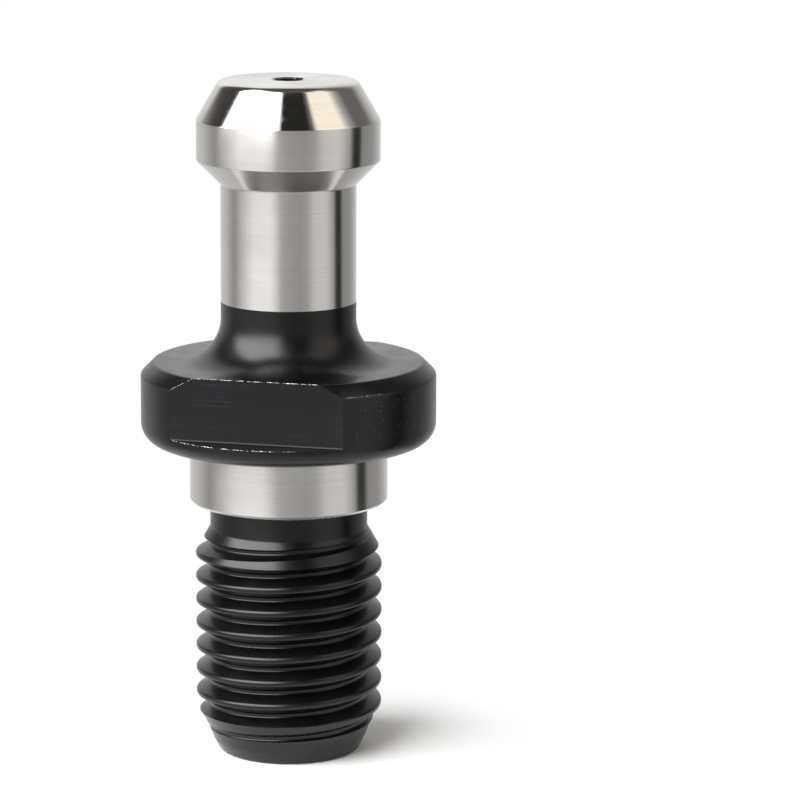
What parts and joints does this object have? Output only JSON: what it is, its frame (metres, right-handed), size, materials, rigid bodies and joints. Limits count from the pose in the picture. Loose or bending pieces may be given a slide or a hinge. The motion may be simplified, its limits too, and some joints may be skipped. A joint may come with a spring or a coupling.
{
  "type": "pull stud",
  "caption": "Turned steel pull stud: grooved gripper head with a 45 degree flank, flange with wrench flats, ground pilot, coarse right hand thread and a coolant bore.",
  "frame": {"origin": "on the axis, in the plane of the seat face under the flange, which is the datum that the stud's heights are measured from", "axes": "+Z along the axis from the seat face to the gripper head, the thread pointing down to -Z; the two wrench flats face -Y and +Y"},
  "size_m": [0.0372, 0.0372, 0.0857],
  "materials": {
    "stud_steel": "alloy steel, hardened; ground bright on the head, neck, pilot and seat face, black oxide on the flange, relief and thread"
  },
  "bodies": {
    "root": {"pull_stud": "stud_steel"}
  },
  "joints": []
}
